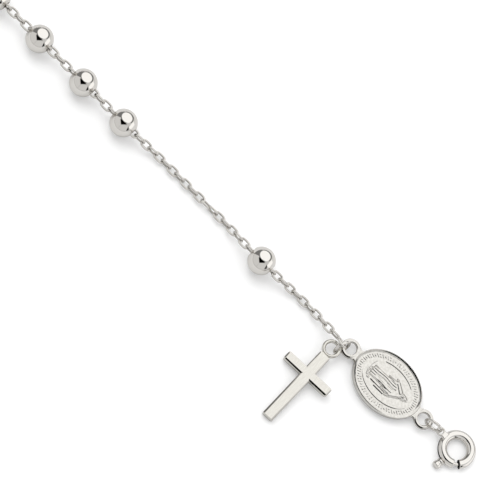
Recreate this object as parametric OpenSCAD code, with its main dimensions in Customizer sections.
// Silver rosary bracelet, laid open on a flat surface at z = 0.
// The seen stretch runs along X with the clasp at the +X end and the cross towards -Y.
// From its far end the chain bends round once and comes back behind the seen stretch.

/* [Beads] */
// Diameter of each bead
bead_d = 4.0; // [3.5:0.1:4.5]
// Wall of the hollow beads
bead_wall = 0.3; // [0.2:0.05:0.5]
// Diameter of the hole through each bead
bead_hole_d = 1.46; // [1.46:0.02:1.8]
// Distance between the beads of the decade
bead_pitch = 8.3; // [7:0.1:9]
// Distance from a single bead to the nearest bead of the decade
side_gap = 27.1; // [20:0.1:30]
// Length of chain between each end and its single bead
end_gap = 15.9; // [12:0.1:18]

/* [Chain] */
// Width of the cable chain
chain_w = 1.36; // [1.2:0.02:1.36]
// Wire of the chain's links
link_wire = 0.29; // [0.25:0.01:0.3]
// Outer length of one link
link_l = 1.92; // [1.88:0.02:2.1]

/* [Medal] */
// Length of the oval
medal_l = 11.2; // [10:0.1:12]
// Width of the oval
medal_w = 8.45; // [7:0.05:9]
// Thickness at the rim
medal_t = 0.9; // [0.7:0.1:1.2]
// Width of the raised rim
rim_w = 0.3; // [0.2:0.05:0.5]
// Length of the inner oval line
line_l = 8.4; // [7.5:0.1:8.8]
// Width of the inner oval line
line_w = 5.2; // [4.5:0.1:5.6]
// Outer diameter of the lugs
lug_d = 2.9; // [2.7:0.1:3.1]
// Diameter of the holes in the lugs
lug_hole_d = 1.75; // [1.6:0.05:1.8]
// Thickness of the lugs
lug_t = 0.5; // [0.4:0.05:0.6]

/* [Cross] */
// Length from the eyelet's centre to the foot
cross_l = 13.5; // [12:0.1:15]
// Width over the arms
cross_w = 8.0; // [6:0.1:9]
// Distance from the eyelet's centre to the arms' middle line
cross_arm_drop = 5.05; // [4.5:0.05:6]
// Width of the upright bar
cross_post_w = 1.75; // [1.2:0.05:1.8]
// Width of the arms
cross_bar_w = 1.45; // [1.2:0.05:1.8]
// Thickness of the cross
cross_t = 1.05; // [0.8:0.05:1.2]
// Outer diameter of the eyelet
cross_eye_d = 2.7; // [2.5:0.02:2.76]
// Wire of the eyelet
cross_eye_wire = 0.52; // [0.45:0.01:0.54]

/* [Clasp] */
// Outer diameter of the spring ring
clasp_d = 5.5; // [5:0.1:6]
// Diameter of its tube
clasp_tube_d = 1.28; // [1.2:0.02:1.3]
// Bore of its tube
clasp_bore_d = 0.8; // [0.75:0.05:0.85]
// Wire of the gate
gate_wire = 0.5; // [0.4:0.05:0.55]
// How far the gate slides back, in degrees
gate_travel = 55; // [40:1:57]

/* [Hidden] */
$fn = 48;
clear = 0.05;

bead_count = 12;
bead_names = ["bead_01", "bead_02", "bead_03", "bead_04", "bead_05", "bead_06",
              "bead_07", "bead_08", "bead_09", "bead_10", "bead_11", "bead_12"];

// Middle of the whole footprint, which is the origin
middle = [-17.78, 18.62];

// Chain route, seen from above. It starts at the drop ring and heads along -X.
// Each stretch has a length and the angle that it turns to the right over that length.
route_start = [18.1, 0];
route_heading = 180;
stretch_length = 0;
stretch_turn = 1;
stretches = [
    [78, 0],
    [40, 135],
    [60, 40],
];

bead_r = bead_d / 2;
chain_z = chain_w / 2 + 0.02;
// Chain between two beads lies on the surface from this far off the bead's centre
settle = 7.5;
// Sideways slack of the chain for each millimetre that it drops
slack = 0.46;
// How far single beads have slid along the chain towards the clasp
bead_slip = [0, 0, 0.4, 0.1, 0, 0, 0, 0, 0, 0, 0, 0];
bead_at = [
    for (i = [0 : bead_count - 1])
        end_gap + (i == 0 ? 0 : side_gap + (i - 1) * bead_pitch)
            + (i == bead_count - 1 ? side_gap - bead_pitch : 0) - bead_slip[i]
];
chain_l = bead_at[bead_count - 1] + end_gap;

function turned(p, a) = [p[0] * cos(a) - p[1] * sin(a), p[0] * sin(a) + p[1] * cos(a)];

// Place [x, y, heading] after walking s along the route
function walk(s, i = 0, p = route_start, h = route_heading) =
    let (
        whole = stretches[i][stretch_length],
        bend = stretches[i][stretch_turn],
        part = min(s, whole),
        angle = bend * part / whole,
        step = angle == 0 ? [part, 0] : let (r = part / (angle * PI / 180)) [r * sin(angle), r * (cos(angle) - 1)],
        q = p + turned(step, h)
    )
    s > whole && i < len(stretches) - 1 ? walk(s - whole, i + 1, q, h - bend) : [q[0], q[1], h - angle];

// The drop ring and the beads hold the chain up: 1 in a bead, 0 on the surface
ring_hold = -0.8;
function near_hold(s) = min([for (at = concat([ring_hold], bead_at)) abs(s - at)]);
function in_decade(s) = s > bead_at[1] && s < bead_at[bead_count - 2];
function smooth(t) = let (u = max(0, min(1, t))) u * u * (3 - 2 * u);
function lift(s) = in_decade(s) ? 1 : 1 - smooth((near_hold(s) - bead_r) / (settle - bead_r));

// Point and heading of the chain at s
function chain_place(s) =
    let (w = walk(s), z = chain_z + (bead_r - chain_z) * lift(s), side = (bead_r - z) * slack)
    [w[0] + side * sin(w[2]), w[1] + side * -cos(w[2]), z, w[2]];

function on_floor(p) = [p[0] - middle[0], p[1] - middle[1], p[2]];

// Rings of the chain's tube: both faces of each bead, and even steps between beads
ring_step = 2.9;
tube_start = 1.1;
tube_end = chain_l - link_l - clear;
function between(a, b) =
    let (n = max(1, ceil((b - a) / ring_step)))
    [for (k = [1 : 1 : n - 1]) a + (b - a) * k / n];
tube_stops = [
    tube_start,
    each between(tube_start, bead_at[0] - bead_r),
    for (i = [0 : bead_count - 1]) each [
        bead_at[i] - bead_r,
        bead_at[i] + bead_r,
        each between(bead_at[i] + bead_r, i < bead_count - 1 ? bead_at[i + 1] - bead_r : tube_end)
    ],
    tube_end
];

// Medal, in the laid place
medal_at = [26.7, 0.6];
medal_turn = 0.9;
medal_lift = 0.55;
lug_reach = 7.07;
lug_neck_w = 1.9;
rim_h = 0.15;

// Jump rings: centre, direction of the axis, radius of the wire's middle line, wire
drop_at = [18.62, -0.47, 1.5];
drop_normal = [0.908, -0.323, 0.268];
drop_r = 1.2;
drop_wire = 0.46;
clasp_link_at = [35.33, 0.97, 1.46];
clasp_link_normal = [-0.139, 0.989, -0.042];
clasp_link_r = 1.255;
clasp_link_wire = 0.4;

// The chain's first link hangs on the top of the drop ring and slopes down to the chain
front_link_at = [18.07, -0.36, 2.54];
front_link_heading = 160;
front_link_slope = 18;
front_link_roll = 35;

// Cross: its eyelet hangs in the drop ring and its foot lies on the surface
cross_at = [17.7, -1.68, 1.4];
cross_turn = 0.5;
cross_roll = 5;

// Clasp. Angles are seen from above and count from +X
clasp_at = [40.07, 1.16];
clasp_eye_d = 1.28;
clasp_eye_hole_d = 0.8;
clasp_eye_t = 0.44;
clasp_eye_z = 1.3;
clasp_eye_out = 3.45;
clasp_r = (clasp_d - clasp_tube_d) / 2;
mouth_angle = -41;
gap_angle = -64;
knob_angle = 260.6;
slot_from = knob_angle - gate_travel - 14;
slot_to = 265;
slot_h = 0.42;
knob_shank = 0.3;
knob_d = 1.2;
knob_l = 1.3;
gate_tip = -37;
gate_tail = 236;

// Far end: a tag with a large hole for the clasp and a small one for the last link
eye_d = 3.6;
eye_hole_d = 2.4;
eye_t = 0.5;
tag_d = 1.9;
tag_hole_d = 1.0;
tag_step = 2.1;
tag_at = chain_l - link_wire - 3 * clear + tag_hole_d / 2;

silver = [0.84, 0.83, 0.81];

// Shapes that several pieces use

// Points a child, whose own axis is Z, along a direction
module along(direction) {
    flat = norm([direction[0], direction[1]]);
    rotate([0, atan2(flat, direction[2]), atan2(direction[1], direction[0])]) children();
}

module wire_ring(r, wire) {
    rotate_extrude() translate([r, 0]) circle(d = wire, $fn = 24);
}

// Round-ended wire link, lying flat with its length along X
module wire_link(length, width, wire) {
    r = (width - wire) / 2;
    half = (length - width) / 2;
    for (end = [-1, 1]) {
        translate([end * half, 0, 0])
            rotate([0, 0, end * 90 + 180])
                rotate_extrude(angle = 180) translate([r, 0]) circle(d = wire, $fn = 24);
        translate([-half, end * r, 0]) rotate([0, 90, 0]) cylinder(d = wire, h = 2 * half, $fn = 24);
    }
}

function oval(length, width, count = 96) =
    [for (k = [0 : count - 1]) let (a = 360 * k / count) [length / 2 * cos(a), width / 2 * sin(a)]];

// Pieces

module clasp_ring() {
    color(silver) translate(on_floor([clasp_at[0], clasp_at[1], clasp_tube_d / 2])) {
        difference() {
            rotate([0, 0, mouth_angle])
                rotate_extrude(angle = 360 + gap_angle - mouth_angle)
                    translate([clasp_r, 0])
                        difference() {
                            circle(d = clasp_tube_d);
                            circle(d = clasp_bore_d);
                        }
            rotate([0, 0, slot_from])
                rotate_extrude(angle = slot_to - slot_from)
                    translate([clasp_r, -slot_h / 2]) square([clasp_tube_d, slot_h]);
        }
        clasp_eye();
    }
}

// Flat eyelet soldered to the outside of the clasp
module clasp_eye() {
    out = clasp_eye_out;
    neck_w = 0.8;
    inner = clasp_r + 0.25;
    translate([0, 0, clasp_eye_z - clasp_tube_d / 2 - clasp_eye_t / 2])
        difference() {
            union() {
                translate([-out, 0, 0]) cylinder(d = clasp_eye_d, h = clasp_eye_t);
                translate([-out, -neck_w / 2, 0]) cube([out - inner, neck_w, clasp_eye_t]);
            }
            translate([-out, 0, -clear]) cylinder(d = clasp_eye_hole_d, h = clasp_eye_t + 2 * clear);
        }
}

module clasp_gate() {
    shank_l = clasp_tube_d / 2 + 0.1;
    color(silver) translate(on_floor([clasp_at[0], clasp_at[1], clasp_tube_d / 2])) {
        rotate([0, 0, gate_tail])
            rotate_extrude(angle = 360 + gate_tip - gate_tail)
                translate([clasp_r, 0]) circle(d = gate_wire, $fn = 24);
        rotate([0, 0, knob_angle]) {
            translate([clasp_r, 0, 0]) rotate([0, 90, 0]) cylinder(d = knob_shank, h = shank_l, $fn = 24);
            translate([clasp_r + shank_l, 0, 0]) rotate([0, 90, 0]) knob();
        }
    }
}

// Small turned knob: a head, a waist and a collar
module knob() {
    cylinder(d = knob_d * 0.85, h = knob_l * 0.25);
    cylinder(d = knob_d * 0.7, h = knob_l * 0.5);
    translate([0, 0, knob_l * 0.5]) cylinder(d = knob_d, h = knob_l * 0.5);
}

module clasp_link() {
    color(silver) translate(on_floor(clasp_link_at)) along(clasp_link_normal)
        wire_ring(clasp_link_r, clasp_link_wire);
}

module medal() {
    color(silver) translate(on_floor([medal_at[0], medal_at[1], medal_lift])) rotate([0, 0, medal_turn])
        difference() {
            union() {
                linear_extrude(medal_t - rim_h) polygon(oval(medal_l, medal_w));
                linear_extrude(medal_t) difference() {
                    polygon(oval(medal_l, medal_w));
                    polygon(oval(medal_l - 2 * rim_w, medal_w - 2 * rim_w));
                }
                linear_extrude(medal_t - rim_h / 2) difference() {
                    polygon(oval(line_l, line_w));
                    polygon(oval(line_l - 2 * 0.2, line_w - 2 * 0.2));
                }
                for (end = [-1, 1]) medal_lug(end);
                figure();
            }
            for (end = [-1, 1])
                translate([end * lug_reach, 0, -clear]) cylinder(d = lug_hole_d, h = medal_t + 2 * clear);
        }
}

// Round lug at one end of the oval, thinner than the plate
module medal_lug(end) {
    translate([0, 0, (medal_t - lug_t) / 2]) {
        translate([end * lug_reach, 0, 0]) cylinder(d = lug_d, h = lug_t);
        translate([end * (medal_l / 2 + 0.4), 0, lug_t / 2]) cube([2, lug_neck_w, lug_t], center = true);
    }
}

// Plain raised outline of the standing robed figure, head towards the clasp
module figure() {
    robe = [[-2.6, -0.9], [-1.2, -1.25], [0.6, -1.7], [1.6, -1.0], [2.7, -0.45],
            [2.7, 0.45], [1.6, 1.0], [0.6, 1.7], [-1.2, 1.25], [-2.6, 0.9]];
    head_x = 2.9;
    head_d = 1.1;
    linear_extrude(medal_t - rim_h / 3) polygon(robe);
    translate([head_x, 0, 0]) cylinder(d = head_d, h = medal_t - rim_h / 4);
}

module drop_ring() {
    color(silver) translate(on_floor(drop_at)) along(drop_normal) wire_ring(drop_r, drop_wire);
}

module cross() {
    corner_drop = cross_post_w / 2 * sin(cross_roll);
    tilt = asin(((cross_at[2] - clear - corner_drop) / cos(cross_roll) - cross_t / 2) / cross_l);
    eye_r = (cross_eye_d - cross_eye_wire) / 2;
    post_top = eye_r + cross_eye_wire / 4;
    color(silver) translate(on_floor(cross_at)) rotate([0, 0, cross_turn])
        rotate([tilt, -cross_roll, 0]) {
        wire_ring(eye_r, cross_eye_wire);
        translate([-cross_post_w / 2, -cross_l, -cross_t / 2])
            cube([cross_post_w, cross_l - post_top, cross_t]);
        translate([-cross_w / 2, -cross_arm_drop - cross_bar_w / 2, -cross_t / 2])
            cube([cross_w, cross_bar_w, cross_t]);
    }
}

// Tube along the chain's route, through every bead
module chain() {
    sides = 8;
    rings = [
        for (s = tube_stops) let (p = chain_place(s), c = on_floor(p), h = p[3] + 90)
            for (k = [0 : sides - 1]) let (a = 360 * (k + 0.5) / sides)
                c + chain_w / 2 * [cos(a) * cos(h), cos(a) * sin(h), sin(a)]
    ];
    last = (len(tube_stops) - 1) * sides;
    color(silver) polyhedron(
        points = rings,
        faces = [
            [for (k = [0 : sides - 1]) k],
            [for (k = [sides - 1 : -1 : 0]) last + k],
            for (i = [0 : len(tube_stops) - 2]) for (k = [0 : sides - 1]) let (j = (k + 1) % sides)
                [i * sides + k, (i + 1) * sides + k, (i + 1) * sides + j, i * sides + j]
        ]);
}

// Real link at one end of the chain, rolled this far from standing on edge
module end_link(place, heading, slope, roll) {
    color(silver) translate(on_floor(place)) rotate([0, slope, heading]) rotate([90 - roll, 0, 0])
        wire_link(link_l, chain_w, link_wire);
}

module chain_link_front() {
    end_link(front_link_at, front_link_heading, front_link_slope, front_link_roll);
}

module chain_link_end() {
    p = chain_place(chain_l - link_l / 2);
    end_link(p, p[3], 0, 0);
}

// Flat tag in the shape of an eight that the clasp closes on
module end_eye() {
    p = chain_place(tag_at);
    color(silver) translate(on_floor([p[0], p[1], chain_z - eye_t / 2])) rotate([0, 0, p[3]])
        difference() {
            union() {
                cylinder(d = tag_d, h = eye_t);
                translate([tag_step, 0, 0]) cylinder(d = eye_d, h = eye_t);
            }
            translate([0, 0, -clear]) cylinder(d = tag_hole_d, h = eye_t + 2 * clear);
            translate([tag_step, 0, -clear]) cylinder(d = eye_hole_d, h = eye_t + 2 * clear);
        }
}

// Each bead sits on the straight piece of chain that runs through it
module bead(i) {
    a = chain_place(bead_at[i] - bead_r);
    b = chain_place(bead_at[i] + bead_r);
    color(silver) translate(on_floor([(a[0] + b[0]) / 2, (a[1] + b[1]) / 2, bead_r]))
        rotate([0, 90, atan2(b[1] - a[1], b[0] - a[0])])
        difference() {
            sphere(d = bead_d);
            sphere(d = bead_d - 2 * bead_wall);
            cylinder(d = bead_hole_d, h = bead_d + 2, center = true);
        }
}

clasp_ring();
clasp_gate();
clasp_link();
medal();
drop_ring();
cross();
chain();
chain_link_front();
chain_link_end();
end_eye();
for (i = [0 : bead_count - 1]) bead(i);
